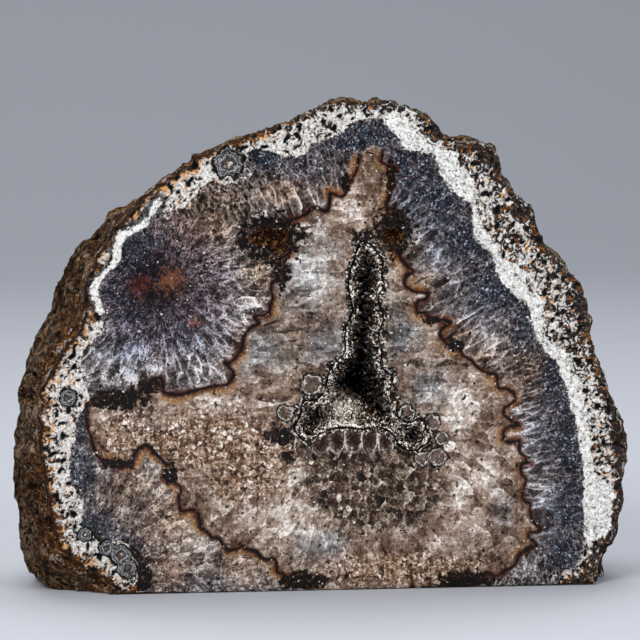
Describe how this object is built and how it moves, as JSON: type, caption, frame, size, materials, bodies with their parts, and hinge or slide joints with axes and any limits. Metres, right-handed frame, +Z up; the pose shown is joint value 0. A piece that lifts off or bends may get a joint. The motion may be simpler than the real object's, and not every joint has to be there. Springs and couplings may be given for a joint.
{
  "type": "druzy agate",
  "caption": "Half of a druzy agate nodule with a polished face, a crystal-lined hollow, a rough natural back and a flat base cut to stand on.",
  "frame": {"origin": "on the base cut, under the middle of the polished face's width and 32 mm behind the face", "axes": "+X along the polished face to the right as seen from the front, +Y into the stone, +Z up from the base cut"},
  "size_m": [0.1535, 0.0704, 0.1219],
  "materials": {
    "agate": "sawn face polished to a gloss, with grey and beige quartz inside a dark blue chalcedony band and a white and brown speckled rim; back left as rough brown skin",
    "druse": "small dark smoky quartz crystals with glassy faces and white edges"
  },
  "bodies": {
    "root": {"agate_stone": "agate", "druse_crust": "druse"}
  },
  "joints": []
}
